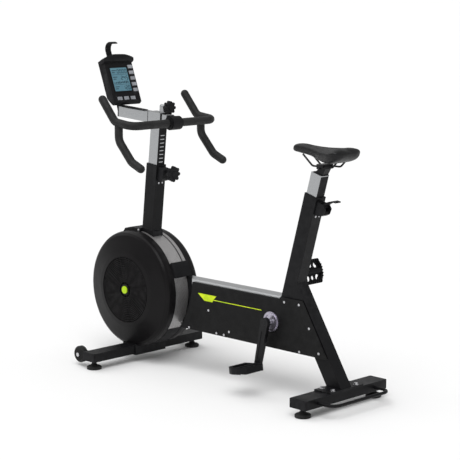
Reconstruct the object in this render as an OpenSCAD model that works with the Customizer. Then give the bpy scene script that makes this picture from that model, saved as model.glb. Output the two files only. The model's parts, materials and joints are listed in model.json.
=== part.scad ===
// Air-resistance exercise bike: stabilizer frame, fan drum, crank drive, saddle, handlebar, console.
// Frame: +Z up, the bike faces -X, its left side is -Y, origin on the floor under its middle.

/* [Floor frame] */
// x of the front stabilizer and of the fan drum axis above it
front_x = -461.5; // [-470:0.5:-450]
// distance between the two stabilizers
wheelbase = 1038.5; // [1030:0.5:1045]
// length of the front stabilizer over its end plugs
front_stab_len = 584; // [570:1:600]
// length of the rear stabilizer over its end plugs
rear_stab_len = 436; // [425:1:450]
// distance between the two front feet
front_feet = 526; // [515:1:535]
// distance between the two rear feet
rear_feet = 380; // [370:1:390]
// depth of the front stabilizer along x
front_stab_d = 66; // [62:1:70]
// depth of the rear stabilizer along x
rear_stab_d = 76; // [72:1:80]
// top of both stabilizers above the floor
stab_top = 67.5; // [66:0.5:69]
// height of both stabilizer tubes
stab_h = 34; // [32:0.5:36]
// wall of the steel tubes
wall = 2.5; // [2:0.1:3]

/* [Seat mast and rear support] */
// x of the middle of the mast's top opening
mast_x = 457; // [450:1:464]
// z of the middle of the mast's top opening
mast_z = 747; // [735:1:760]
// backward lean of the seat mast
mast_lean = 16; // [15.5:0.1:16.5]
// depth of the mast and of the front upright
tube_d = 59.2; // [58.5:0.1:60]
// width of the mast and of the front upright
tube_w = 50; // [49:0.5:51]
// x of the rear support's back edge at z = 400
support_x = 411; // [408:0.5:414]
// slope of the rear support away from upright
support_lean = 31.5; // [31:0.1:32]
// width of the rear support tube
support_w = 55; // [53:0.5:56]

/* [Beam and covers] */
// top of the main beam
beam_top = 367; // [364:0.5:370]
// height of the main beam section
beam_h = 50; // [46:1:52]
// width of the main beam section
beam_w = 53; // [50:0.5:54]
// lower edge of the side covers
cover_bottom = 170; // [165:1:175]
// upper edge of the side covers along the beam
cover_top = 358; // [355:0.5:361]
// outer face of the left cover from the middle plane
cover_left = 34; // [33:0.5:36]
// outer face of the right cover from the middle plane
cover_right = 57; // [56.5:0.1:57.5]

/* [Fan drum] */
// height of the fan axis
drum_z = 291.5; // [289:0.5:294]
// outer radius of the drum
drum_r = 231; // [228:1:233]
// left edge of the mesh band from the middle plane
band_left = 38; // [36:0.5:40]
// right edge of the mesh band from the middle plane
band_right = 48; // [46.5:0.5:49]
// number of radial blades on the fan wheel
blades = 16; // [10:1:24]

/* [Crank drive] */
// x of the crank axis
crank_x = 278.5; // [276:0.5:281]
// height of the crank axis
crank_z = 269; // [267:0.5:271]
// crank length from axis to pedal axle
crank_len = 170; // [165:1:172]
// forward lean of the lower (left) crank
crank_lean = 12.6; // [10:0.1:15]
// outer face of the crank arms from the middle plane
arm_out = 75.6; // [75:0.1:77]
// pitch radius of the crank pulley
crank_pulley_r = 68; // [60:1:70]
// x of the intermediate shaft
idler_x = 18.5; // [10:0.5:30]
// height of the intermediate shaft
idler_z = 250; // [245:1:255]
// radius of the large pulley on the intermediate shaft
idler_big_r = 56; // [50:1:58]
// radius of the small pulleys
small_pulley_r = 24; // [22:0.5:26]

/* [Front upright and arm] */
// x of the middle of the upright's top opening
upright_x = -379; // [-383:1:-375]
// z of the middle of the upright's top opening
upright_z = 789.5; // [780:0.5:800]
// backward lean of the front upright
upright_lean = 6.5; // [6:0.1:7]
// distance along the upright from its top to the head sleeve's middle
head_rise = 183; // [175:1:190]
// upward slope of the horizontal arm towards the front
arm_tilt = 4; // [3:0.1:5]
// length of the arm ahead of the head sleeve's middle
arm_front = 220; // [214:1:226]
// thickness of the lower star knob
knob_t = 16; // [14:1:18]

/* [Handlebar] */
// half distance between the handlebar's two sides
bar_half = 215; // [205:1:225]
// radius of the handlebar tube
bar_r = 13.5; // [12.5:0.1:14]
// radius of the grips
grip_r = 16; // [15.2:0.1:16.5]

/* [Console] */
// width of the console housing
con_w = 142; // [138:1:148]
// thickness of the console housing
con_t = 36; // [34:1:38]
// backward lean of the console face
con_lean = 20.7; // [20:0.1:22]

/* [Saddle] */
// x of the saddle's nose
saddle_nose = 355.5; // [350:1:360]
// half width of the saddle at its widest
saddle_half = 72; // [68:1:75]

/* [Hidden] */
$fn = 96;

eps = 0.05;                     // overreach of every cutting solid
fit = 0.05;                     // radial clearance of a running fit
gap = 0.3;                      // clearance of sliding flat faces and of belts
rear_x = front_x + wheelbase;
stab_bottom = stab_top - stab_h;
plug = 6;                       // visible length of an end plug
lap = 0.3;                      // how far the straights of bent bars reach into the bends
shy = 0.1;                      // how much thinner in radius the straights are than the bends
belt_nip = 0.03;                // how far the straight runs of a belt lie inside the true tangents
grip_end = 1;                   // how far the grips reach past the tube's ends
drop_thin = 0.6;                // the drop tube is this much thinner in radius than the bar it joins

lift_y = 152;                   // half width of the lifting handle
lift_r = 6;
lift_out = 72;
lift_bend = 36;
bolt_x = [rear_x - 27, rear_x + 25];
mast_foot = 305;
post_foot = -255;
top_block = [83.2, 110.2];      // angles covered by the drum's solid blocks
rear_block = [16.7, 31.6];
low_block = [-142, -38];
shell_line = [[231, 0], [231, 22], [229, 31], [224, 38], [215, 43.5], [197, 48], [150, 59], [132, 62]];
cover_screw_at = [[341.5, 350], [413.5, 350], [463.5, 271], [416.5, 178], [510, 187], [-52.5, 260],
    [-160.5, 177], [-9.5, 178], [30.5, 178], [58.5, 194]];
pedal_dx = -crank_len * sin(crank_lean);
pedal_dz = -crank_len * cos(crank_lean);
clamp_x = 502;
rail_z = 855;
rail_y = 22;
rail_r = 3.5;
pedal_half_t = 13;              // half thickness of the pedal bodies

wheel_x = front_x - 80;
wheel_y = 262;
wheel_z = 46;
wheel_r = 32.5;
wheel_w = 22;
wheel_axle_r = 5;
cheek_t = 4;

foot_r = 29;
stud_r = 5;
boss_r = 9;
boss_top = stab_bottom + 18;
stud_top = boss_top + 8;

sleeve_half = 80;               // half length of the sleeve round the front stabilizer
sleeve_t = 5;
sleeve_top = stab_top + sleeve_t;
foot_plate_t = 6;

beam_half = beam_w / 2;
beam_bottom = beam_top - beam_h;
beam_wall = 3;
beam_front = -206;              // front end of the beam at its right side
beam_mitre = 54;                // how far its left side stands back, clear of the mesh band
cover_nose = [[-218, 150], [-208, 170], [-167, 252], [-150, 310], [-141, 363], [-139, 380]];
cover_step = 42.5;                // how far the right cover ends ahead of the left one
mast_cos = cos(mast_lean);
mast_tan = tan(mast_lean);
mast_front_x = mast_x - tube_d / 2 / mast_cos;
mast_rear_x = mast_x + tube_d / 2 / mast_cos;
support_tan = tan(support_lean);
support_run = tube_d / cos(support_lean);

plate_y0 = 27;                  // bulkhead plate, left face
plate_y1 = 31.5;                // bulkhead plate, right face
cover_t = 2.5;
cover_gap = drum_r + 3;

spindle_r = 10;
shell_r = 23;
bearing_r = 20;
bearing_w = 12;
shell_half = 27;
ring_y = 44.6;
arm_t = 15;
pedal_in = 88;
pedal_out = 190;
plane_a = [33, 42];             // y range of the fan belt
plane_b = [44, 53];             // y range of the crank belt
belt_t = 2.5;
idler_r = 7.5;
fan_shaft_r = 8;

seat_d = 48;
seat_w = 42.6;
seat_out = 84;
seat_in = 300;
front_d = 48.8;
front_w = 41.1;
front_in = 190;

arm_h = 41;
arm_w = 40;
sleeve_f = -41;
sleeve_r = 29;
bar_off = [84.5, -7.4];             // crossbar centre from the head in the arm's frame
bar_tilt = 6.5;
con_top = 190;
con_low = -12;
hinge_n = -con_t - 8;
hinge_h = 36;
button_w = 23;
button_h = 14;
button_proud = 3;
button_y = 55;
button_gap = 24;
row_gap = 34;
row_h = 10.5;
column_h = 43;

head = [upright_x + head_rise * sin(upright_lean), upright_z + head_rise * cos(upright_lean)];
con = [-544.5, 1030];           // lower middle of the console face

function mast_edge(z, x) = x - (mast_z - z) * mast_tan;
function support_back(z) = support_x + (400 - z) * support_tan;
function support_front(z) = support_back(z) - support_run;
// height where a line of the support meets the mast's rear face
function meet(x400) = (x400 + 400 * support_tan - mast_rear_x + mast_z * mast_tan)
    / (mast_tan + support_tan);
function tangent(a, b, ra, rb, s) = let (d = b - a, l = norm(d), u = d / l, n = [-u[1], u[0]] * s,
    c = (ra - rb) / l, q = sqrt(1 - c * c), w = u * c + n * q) [a + w * ra, b + w * rb];

// ---------- shared shapes ----------
module box(x0, x1, y0, y1, z0, z1) {
    translate([x0, y0, z0]) cube([x1 - x0, y1 - y0, z1 - z0]);
}
// a shape drawn in x and z, thick from y0 to y1
module plate(y0, y1) {
    translate([0, y1, 0]) rotate([90, 0, 0]) linear_extrude(y1 - y0) children();
}
module rod_y(x, z, r, y0, y1) {
    translate([x, y1, z]) rotate([90, 0, 0]) cylinder(r = r, h = y1 - y0);
}
module rod_x(y, z, r, x0, x1) {
    translate([x0, y, z]) rotate([0, 90, 0]) cylinder(r = r, h = x1 - x0);
}
module rod_z(x, y, r, z0, z1) {
    translate([x, y, z0]) cylinder(r = r, h = z1 - z0);
}
module at(x, z) {
    translate([x, z]) children();
}
module both() {
    children();
    mirror([0, 1, 0]) children();
}
module in_mast() {
    translate([mast_x, 0, mast_z]) rotate([0, mast_lean, 0]) children();
}
module in_upright() {
    translate([upright_x, 0, upright_z]) rotate([0, upright_lean, 0]) children();
}
module in_arm() {
    translate([head[0], 0, head[1]]) rotate([0, arm_tilt, 0]) children();
}
module in_console() {
    translate([con[0], 0, con[1]]) rotate([0, -con_lean, 0]) children();
}
module in_drum() {
    translate([front_x, 0, drum_z]) children();
}
// round bar of radius r swept along straight lengths and bends: [length, bend radius, bend angle, roll];
// each straight is a hair thinner than the bends it laps into, so no two faces coincide
module sweep(steps, r, i = 0) {
    bend = steps[i];
    before = i > 0 ? lap : 0;
    after = bend[2] > 0 ? lap : 0;
    translate([0, 0, -before]) linear_extrude(bend[0] + before + after) scale(1 - shy / r) children();
    if (bend[2] > 0)
        translate([0, 0, bend[0]]) rotate([0, 0, bend[3]]) {
            translate([bend[1], 0, 0]) rotate([90, 0, 180])
                rotate_extrude(angle = bend[2]) translate([bend[1], 0]) children();
            if (i + 1 < len(steps))
                translate([bend[1] * (1 - cos(bend[2])), 0, bend[1] * sin(bend[2])])
                    rotate([0, bend[2], 0]) sweep(steps, r, i + 1) children();
        }
}
// endless flat belt round two pulleys
module loop2d(a, b, ra, rb) {
    up = tangent(a, b, ra - belt_nip, rb - belt_nip, 1);
    dn = tangent(a, b, ra - belt_nip, rb - belt_nip, -1);
    translate(a) circle(ra);
    translate(b) circle(rb);
    polygon([up[0], up[1], dn[1], dn[0]]);
}
module belt(a, b, ra, rb, y) {
    plate(y[0], y[1]) difference() {
        loop2d(a, b, ra + gap + belt_t, rb + gap + belt_t);
        loop2d(a, b, ra + gap, rb + gap);
    }
}
module screw_head(r, h) {
    difference() {
        cylinder(r = r, h = h);
        translate([0, 0, h * 0.4]) cylinder(r = r * 0.45, h = h, $fn = 6);
    }
}

// ---------- stabilizers ----------
module stab_tube(x, d, len) {
    difference() {
        box(x - d / 2, x + d / 2, -len / 2 + plug, len / 2 - plug, stab_bottom, stab_top);
        box(x - d / 2 + wall, x + d / 2 - wall, -len, len, stab_bottom + wall, stab_top - wall);
    }
}
module stab(x, d, len, feet) {
    difference() {
        union() {
            stab_tube(x, d, len);
            both() rod_z(x, feet / 2, boss_r, stab_bottom, boss_top);
        }
        both() rod_z(x, feet / 2, stud_r + fit, stab_bottom - eps, boss_top + eps);
    }
}
module cheek(y) {
    reach = front_x - front_stab_d / 2;
    plate(y, y + cheek_t) difference() {
        union() {
            polygon([[reach, stab_top - 3], [reach, stab_bottom + 1], [wheel_x, wheel_z - 12],
                [wheel_x, wheel_z + 12]]);
            at(wheel_x, wheel_z) circle(12);
        }
        at(wheel_x, wheel_z) circle(wheel_axle_r + fit);
    }
}
module front_stabilizer() {
    color("#1b1b1d") {
        stab(front_x, front_stab_d, front_stab_len, front_feet);
        both() {
            cheek(wheel_y - wheel_w / 2 - 1 - cheek_t);
            cheek(wheel_y + wheel_w / 2 + 1);
        }
        difference() {
            box(front_x - front_stab_d / 2 - sleeve_t, front_x + front_stab_d / 2 + sleeve_t,
                -sleeve_half, sleeve_half, stab_bottom - sleeve_t, sleeve_top);
            box(front_x - front_stab_d / 2, front_x + front_stab_d / 2,
                -sleeve_half - 1, sleeve_half + 1, stab_bottom, stab_top);
        }
    }
}
module cap(x, d, len) {
    box(x - d / 2, x + d / 2, len / 2 - plug, len / 2, stab_bottom, stab_top);
    box(x - d / 2 + wall + gap, x + d / 2 - wall - gap, len / 2 - plug - 10, len / 2 - plug,
        stab_bottom + wall + gap, stab_top - wall - gap);
}
module stabilizer_caps() {
    color("#161617") both() {
        cap(front_x, front_stab_d, front_stab_len);
        cap(rear_x, rear_stab_d, rear_stab_len);
    }
}
module rear_stabilizer() {
    color("#1b1b1d") {
        stab(rear_x, rear_stab_d, rear_stab_len, rear_feet);
        translate([rear_x + rear_stab_d / 2, -lift_y, 49]) rotate([0, 90, 0])
            sweep([[lift_out - lift_bend, lift_bend, 90, 90], [2 * (lift_y - lift_bend), lift_bend, 90, 0],
                [lift_out - lift_bend, 0, 0, 0]], lift_r) circle(lift_r);
    }
}
module rear_support() {
    z_back = meet(support_x);
    z_front = meet(support_x - support_run);
    foot_z = stab_top + foot_plate_t;
    inset = wall / cos(support_lean);
    color("#1b1b1d") {
        difference() {
            plate(-support_w / 2, support_w / 2) polygon([[support_back(z_back), z_back],
                [support_front(z_front), z_front], [support_front(foot_z), foot_z],
                [support_back(foot_z), foot_z]]);
            plate(-support_w / 2 + wall, support_w / 2 - wall) polygon([
                [support_back(z_back - 12) - inset, z_back - 12],
                [support_front(z_front - 2) + inset, z_front - 2],
                [support_front(foot_z - eps) + inset, foot_z - eps],
                [support_back(foot_z - eps) - inset, foot_z - eps]]);
        }
        difference() {
            box(rear_x - 40, rear_x + rear_stab_d / 2, -88, 88, stab_top, foot_z);
            for (x = bolt_x, y = [-62, 62]) rod_z(x, y, 5.5, stab_top - eps, foot_z + eps);
        }
    }
}

// ---------- mast, beam, upright ----------
module square_tube(d, w, z0, z1) {
    difference() {
        box(-d / 2, d / 2, -w / 2, w / 2, z0, z1);
        box(-d / 2 + wall, d / 2 - wall, -w / 2 + wall, w / 2 - wall, z0 - 1, z1 + 1);
    }
}
module seat_mast() {
    color("#1b1b1d") difference() {
        in_mast() square_tube(tube_d, tube_w, -520, 0);
        box(0, 500, -40, 40, 0, mast_foot);
    }
}
module main_beam() {
    color("#b9bcc0") difference() {
        plate(-beam_half, beam_half) polygon([[beam_front, beam_bottom], [beam_front, beam_top],
            [mast_edge(beam_top, mast_front_x), beam_top],
            [mast_edge(beam_bottom, mast_front_x), beam_bottom]]);
        box(beam_front - 1, 400, -beam_half + beam_wall, beam_half - beam_wall,
            beam_bottom + beam_wall, beam_top - beam_wall);
        translate([0, 0, beam_bottom - 1]) linear_extrude(beam_h + 2)
            polygon([[beam_front, beam_half], [beam_front + beam_mitre, -beam_half],
                [beam_front + beam_mitre, -beam_half - 5], [beam_front - 5, -beam_half - 5],
                [beam_front - 5, beam_half]]);
    }
}
module front_upright() {
    color("#1b1b1d") {
        in_upright() square_tube(tube_d, tube_w, post_foot, 0);
        in_upright() box(-tube_d / 2 - 1, tube_d / 2 + 1, -tube_w / 2 - 1, tube_w / 2 + 1,
            post_foot - 5, post_foot);
    }
}

// ---------- fan drum ----------
module sleeve_notch() {
    box(front_x - front_stab_d / 2 - sleeve_t - 1, front_x + front_stab_d / 2 + sleeve_t + 1,
        -sleeve_half - 60, sleeve_half + 60, 0, sleeve_top + 0.5);
}
// sector drawn from the drum centre, angles from the rear, counted upwards
module sector(a0, a1, r) {
    n = ceil((a1 - a0) / 60);
    polygon(concat([[0, 0]], [for (i = [0:n]) let (a = a0 + (a1 - a0) * i / n) [cos(a), sin(a)] * r]));
}
module arc_band(r0, r1, a0, a1, y0, y1) {
    in_drum() plate(y0, y1) intersection() {
        difference() {
            circle(r1);
            circle(r0);
        }
        sector(a0, a1, r1 * 1.3);
    }
}
module drum_bulkhead() {
    color("#19191b") difference() {
        union() {
            in_drum() plate(plate_y0, plate_y1) circle(drum_r);
            in_drum() rod_y(0, 0, 26, 12, plate_y1);
            plate(plate_y0, plate_y1) polygon([[front_x + 190, 176], [front_x + 190, 355],
                [beam_front + 110, 355], [beam_front + 110, beam_bottom + 4], [beam_front + 40, 230],
                [beam_front + 30, 176]]);
        }
        in_drum() rod_y(0, 0, fan_shaft_r + fit, 0, 60);
        for (x = [40, 80]) rod_y(beam_front + x, beam_top - 25, 4.5, 20, 40);
        box(front_x - front_stab_d / 2 - sleeve_t - 1, front_x + front_stab_d / 2 + sleeve_t + 1,
            0, 60, 0, sleeve_top);
    }
}
module drum_blocks() {
    color("#141415") difference() {
        union() {
            arc_band(drum_r - 8, drum_r + 9, rear_block[0], rear_block[1], -band_left, band_right);
            arc_band(drum_r - 4, drum_r + 1, low_block[0], low_block[1], -band_left, plate_y0);
            arc_band(drum_r - 4, drum_r + 1, low_block[0], low_block[1], plate_y1, band_right);
            difference() {
                translate([front_x, 0, 0]) plate(-band_left, band_right) polygon([[-78, 495], [-77, 511],
                    [-64, 526], [-40, 532], [26, 534.1], [26, 490]]);
                in_drum() plate(-60, 60) circle(drum_r - 6);
                in_upright() box(-tube_d / 2 - 6, tube_d / 2 + 6, -30, 30, post_foot - 5, 0);
            }
            difference() {
                translate([front_x, 0, 0]) plate(-tube_w / 2 - 1, tube_w / 2 + 1)
                    polygon([[20, 500], [20, 534.3], [88, 526.7], [88, 490]]);
                in_drum() plate(-60, 60) circle(drum_r + 0.5);
                in_upright() box(-tube_d / 2 - 6, tube_d / 2 + 6, -30, 30, post_foot - 5, 0);
            }
        }
        sleeve_notch();
        in_drum() plate(plate_y0, plate_y1) circle(drum_r + 0.01);
    }
}
module shell_profile(inner) {
    n = len(shell_line);
    outer_pts = [for (p = shell_line) [p[0], p[1]]];
    inner_pts = [for (i = [n - 1:-1:0]) let (p = shell_line[i])
        [i < n - 1 ? p[0] - (i < 4 ? 3 : 1.2) : p[0], max(0, p[1] - (i > 2 ? 3 : 1.5))]];
    polygon(concat(outer_pts, inner ? [[0, 62], [0, 59]] : [], inner_pts));
}
module left_grille() {
    plate(-band_left - 61, -band_left - 56) {
        for (r = [33.5:7:131.5]) difference() {
            circle(r + 1.4);
            circle(r - 1.4);
        }
        difference() {
            circle(22);
            circle(9);
        }
    }
    plate(-band_left - 58, -band_left - 56)
        for (a = [15:30:345]) rotate(a) translate([16, -1.4]) square([118, 2.8]);
}
module drum_shell_left() {
    color("#161616") difference() {
        union() {
            in_drum() translate([0, -band_left, 0]) rotate([90, 0, 0]) rotate_extrude() shell_profile(false);
            in_drum() left_grille();
        }
        sleeve_notch();
    }
}
module drum_shell_right() {
    color("#161616") difference() {
        in_drum() translate([0, band_right, 0]) rotate([-90, 0, 0]) rotate_extrude() shell_profile(true);
        sleeve_notch();
    }
}
module drum_cap() {
    color("#c8e61e") in_drum() {
        rod_y(0, 0, 15, -band_left - 66, -band_left - 61);
        rod_y(0, 0, 8.8, -band_left - 61, -band_left - 55);
    }
}
module drum_mesh() {
    r0 = drum_r - 2.2;
    r1 = drum_r - 0.7;
    color("#8d8d90") {
        for (s = [[rear_block[1], top_block[0]], [top_block[1], 360 + low_block[0]]]) {
            arc_band(r0, r1, s[0], s[1], -band_left, plate_y0);
            arc_band(r0, r1, s[0], s[1], plate_y1, band_right);
        }
        arc_band(r0, r1, low_block[1], rear_block[0], -band_left, plate_y0);
    }
}
module fan_wheel() {
    color("#5a5a5e") in_drum() {
        difference() {
            rod_y(0, 0, 32, -32, 11);
            rod_y(0, 0, 20, -33, -14);
        }
        difference() {
            rod_y(0, 0, 208, -9, -5);
            for (a = [0:60:300]) rotate([0, a, 0]) rod_y(72, 0, 22, -20, 20);
        }
        for (i = [0:blades - 1]) rotate([0, 360 / blades * (i + 0.5), 0]) box(118, 207, -32, 18, -1.5, 1.5);
        rod_y(0, 0, fan_shaft_r, 10, plane_a[0] + 1);
        difference() {
            rod_y(0, 0, small_pulley_r, plane_a[0], plane_a[1]);
            rod_y(0, 0, 13, plane_a[1] - 4, plane_a[1] + 1);
        }
    }
}

// ---------- covers ----------
// the side covers' outline; d insets the edges, back moves the rear edge forwards
module cover_outline(d, back) {
    rear = 1.5 + d + back;
    polygon([[front_x + 100, cover_bottom + d], [support_back(cover_bottom) - rear, cover_bottom + d],
        [support_back(cover_top + 8) - rear, cover_top + 8 - d],
        [mast_edge(cover_top, mast_front_x) + 5 + d, cover_top + 8 - d],
        [mast_edge(cover_top, mast_front_x) + 2 + d, cover_top - d], [front_x + 100, cover_top - d]]);
}
// everything behind the left cover's front edge, moved back by dx
module behind_nose(dx) {
    translate([dx, 0]) polygon(concat(cover_nose, [[900, 380], [900, 150]]));
}
module left_outline() {
    intersection() {
        cover_outline(0, 0);
        behind_nose(0);
    }
}
module nose_wall() {
    difference() {
        left_outline();
        behind_nose(3.5);
    }
}
module right_outline(d) {
    difference() {
        cover_outline(d, cover_step);
        translate([front_x, drum_z]) circle(cover_gap);
    }
}
module left_side_cover() {
    inside = -cover_left + cover_t;
    color("#1d1d20") difference() {
        union() {
            plate(-cover_left, inside) left_outline();
            plate(inside, 10) intersection() {
                left_outline();
                translate([cover_nose[0][0], cover_bottom])
                    square([support_front(cover_bottom) - 2 - cover_nose[0][0], cover_t]);
            }
            plate(inside, -beam_half - gap) intersection() {
                left_outline();
                translate([cover_nose[0][0], cover_top - cover_t])
                    square([mast_edge(cover_top, mast_front_x) - cover_nose[0][0] - 4, cover_t]);
            }
            plate(inside, -beam_half - gap) nose_wall();
            plate(inside, 10) intersection() {
                nose_wall();
                translate([cover_nose[0][0], 0]) square([200, beam_bottom - 2]);
            }
        }
        rod_y(crank_x, crank_z, 30, -60, 0);
    }
}
module right_side_cover() {
    inner = support_w / 2 + 0.5;
    color("#1d1d20") {
        difference() {
            plate(inner, cover_right) right_outline(0);
            plate(0, cover_right - cover_t) {
                right_outline(cover_t);
                intersection() {
                    translate([front_x, cover_bottom + cover_t])
                        square([260, cover_top - cover_bottom - 2 * cover_t]);
                    right_outline(0);
                }
            }
            rod_y(crank_x, crank_z, 16, 40, 70);
        }
        plate(10 + gap, inner) intersection() {
            right_outline(0);
            translate([front_x, cover_bottom]) square([support_front(cover_bottom) - 2 - front_x, cover_t]);
        }
    }
}
module frame_screws() {
    color("#c9cbce") {
        for (p = cover_screw_at) {
            translate([p[0], -cover_left, p[1]]) rotate([90, 0, 0]) screw_head(4.5, 2.2);
            translate([min(p[0], support_back(p[1]) - cover_step - 20), cover_right, p[1]])
                rotate([-90, 0, 0]) screw_head(4.5, 1.6);
        }
        for (x = bolt_x, y = [-62, 62]) translate([x, y, stab_top + foot_plate_t]) {
            cylinder(r = 10, h = 1.5);
            translate([0, 0, 1.5]) cylinder(r = 7.5, h = 6, $fn = 6);
            rod_z(0, 0, 5, -foot_plate_t, 0);
        }
        both() {
            rod_y(wheel_x, wheel_z, wheel_axle_r, wheel_y - wheel_w / 2 - 8, wheel_y + wheel_w / 2 + 8);
            for (y = [wheel_y - wheel_w / 2 - 8, wheel_y + wheel_w / 2 + 5])
                rod_y(wheel_x, wheel_z, 8, y, y + 3);
        }
        in_mast() for (y = [-9, 9])
            translate([tube_d / 2, y, -68]) rotate([0, 90, 0]) screw_head(4, 2);
        in_upright() for (y = [-9, 9])
            translate([tube_d / 2, y, -68]) rotate([0, 90, 0]) screw_head(3.5, 2);
        translate([front_x + 17, -band_left, 527]) rotate([90, 0, 0]) screw_head(4.5, 2.2);
        for (x = [40, 80]) rod_y(beam_front + x, beam_top - 25, 7, plate_y1, plate_y1 + 1.2);
    }
}

// ---------- crank drive ----------
module drive_brackets() {
    color("#262628") {
        difference() {
            union() {
                rod_y(crank_x, crank_z, shell_r, -shell_half, shell_half);
                for (y = [-22, 18]) plate(y, y + 4) {
                    at(crank_x, crank_z) circle(32);
                    polygon([[crank_x - 60, beam_bottom], [crank_x - 30, crank_z - 12],
                        [crank_x + 20, crank_z - 25], [support_front(240) - 0.1, 240],
                        [support_front(300) - 0.1, 300], [mast_edge(mast_foot, mast_rear_x), mast_foot - 1],
                        [mast_edge(mast_foot, mast_front_x) - 1, mast_foot - 1],
                        [mast_edge(beam_bottom, mast_front_x) - 1, beam_bottom]]);
                }
            }
            rod_y(crank_x, crank_z, bearing_r, -shell_half - 1, shell_half + 1);
        }
        difference() {
            union() {
                rod_y(idler_x, idler_z, 20, -20, 26);
                plate(-3, 5) polygon([[idler_x - 18, idler_z], [idler_x + 18, idler_z],
                    [idler_x + 34, beam_bottom - 5], [idler_x - 34, beam_bottom - 5]]);
                box(idler_x - 45, idler_x + 45, -20, 22, beam_bottom - 5, beam_bottom);
            }
            rod_y(idler_x, idler_z, idler_r + fit, -30, 40);
        }
    }
}
module crank_bearings() {
    color("#b8b4c0") {
        for (y = [-shell_half, shell_half - bearing_w]) difference() {
            rod_y(crank_x, crank_z, bearing_r, y, y + bearing_w);
            rod_y(crank_x, crank_z, spindle_r + fit, y - 1, y + bearing_w + 1);
        }
        difference() {
            union() {
                rod_y(crank_x, crank_z, 29, -cover_left, -shell_half);
                rod_y(crank_x, crank_z, 37, -ring_y + 4, -cover_left);
                rod_y(crank_x, crank_z, 33, -ring_y, -ring_y + 4);
            }
            rod_y(crank_x, crank_z, 26, -ring_y - 1, -ring_y + 3);
            rod_y(crank_x, crank_z, spindle_r + 1, -60, 0);
        }
    }
}
module crank_spindle() {
    color("#a9abb0") {
        rod_y(crank_x, crank_z, spindle_r, -arm_out + 4, arm_out - 4);
        difference() {
            rod_y(crank_x, crank_z, crank_pulley_r, plane_b[0], plane_b[1]);
            for (a = [0:60:300]) translate([crank_x, 0, crank_z]) rotate([0, a, 0]) rod_y(40, 0, 13, 30, 60);
        }
    }
}
// crank arm hanging down the local -z from the axis
module crank_arm(s) {
    translate([crank_x, 0, crank_z]) rotate([0, s > 0 ? crank_lean + 180 : crank_lean, 0]) {
        y0 = s > 0 ? arm_out - arm_t : -arm_out;
        difference() {
            union() {
                plate(y0, y0 + arm_t) {
                    circle(19);
                    polygon([[-18, -5], [18, -5], [13.5, -crank_len], [-13.5, -crank_len]]);
                    at(0, -crank_len) circle(13.5);
                }
            }
            rod_y(0, 0, spindle_r, y0 - 1, y0 + arm_t + 1);
            rod_y(0, -crank_len, 7, y0 - 1, y0 + arm_t + 1);
            plate(s > 0 ? y0 + arm_t - 1.5 : y0 - 1, s > 0 ? y0 + arm_t + 1 : y0 + 1.5)
                polygon([[-5, -34], [5, -34], [4, -crank_len + 26], [-4, -crank_len + 26]]);
        }
        rod_y(0, 0, 9.5, s > 0 ? arm_out - 4 : -arm_out, s > 0 ? arm_out : -arm_out + 4);
    }
}
module crank_arm_left() {
    color("#1e1e20") crank_arm(-1);
}
module crank_arm_right() {
    color("#1e1e20") crank_arm(1);
}
// pedal with its axle along -y from the crank face
module pedal() {
    w0 = -pedal_out;
    w1 = -pedal_in;
    mid = (w0 + w1) / 2;
    rod_y(0, 0, 6.9, -arm_out - 2, -arm_out + 12);
    rod_y(0, 0, 9, w1 - 1, -arm_out - 1);
    rod_y(0, 0, 12, w0 + 3, w1 - 3);
    difference() {
        translate([0, 0, -pedal_half_t]) linear_extrude(2 * pedal_half_t) pedal_outline(0);
        for (z = [-pedal_half_t - 1, 3]) translate([0, 0, z])
            linear_extrude(pedal_half_t - 2) pedal_outline(9);
        for (x = [-23, 23]) {
            for (y = [-24, 27]) translate([x, mid + y, -20]) cylinder(r = 11, h = 40);
            translate([x, mid + 2, -20]) cylinder(r = 8, h = 40);
        }
        for (z = [-pedal_half_t - 3, pedal_half_t - 3]) {
            for (y = [-44:11:41]) translate([-50, mid + y, z]) cube([100, 5.5, 6]);
            for (x = [-30.25:11:25]) translate([x, w0 - 1, z]) cube([5.5, 12, 6]);
        }
    }
}
// plan of the pedal body: straight beside the crank, bowed at its outer end, drawn in by d
module pedal_outline(d) {
    mid = -(pedal_out + pedal_in) / 2;
    intersection() {
        translate([-46 + d, -pedal_out + d]) square([92 - 2 * d, pedal_out - pedal_in - 2 * d]);
        translate([0, mid + 14]) circle(66 - d);
    }
}
module pedal_left() {
    color("#131313") translate([crank_x + pedal_dx, 0, crank_z + pedal_dz]) rotate([0, -8, 0]) pedal();
}
module pedal_right() {
    color("#131313") translate([crank_x - pedal_dx, 0, crank_z - pedal_dz]) rotate([0, 75, 0])
        mirror([0, 1, 0]) pedal();
}
module idler_pulley() {
    color("#3a3a3e") {
        rod_y(idler_x, idler_z, idler_r, -24, plane_b[1]);
        difference() {
            rod_y(idler_x, idler_z, idler_big_r, plane_a[0], plane_a[1]);
            for (a = [0:60:300]) translate([idler_x, 0, idler_z]) rotate([0, a, 0]) rod_y(33, 0, 10, 30, 60);
        }
        rod_y(idler_x, idler_z, small_pulley_r, plane_a[1] - 0.5, plane_b[1]);
        rod_y(idler_x, idler_z, 12, -24, -20.4);
        rod_y(idler_x, idler_z, 12, 26.4, plane_a[0]);
    }
}
module drive_belts() {
    color("#0f0f10") {
        belt([front_x, drum_z], [idler_x, idler_z], small_pulley_r, idler_big_r, plane_a);
        belt([idler_x, idler_z], [crank_x, crank_z], small_pulley_r, crank_pulley_r, plane_b);
    }
}

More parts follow.
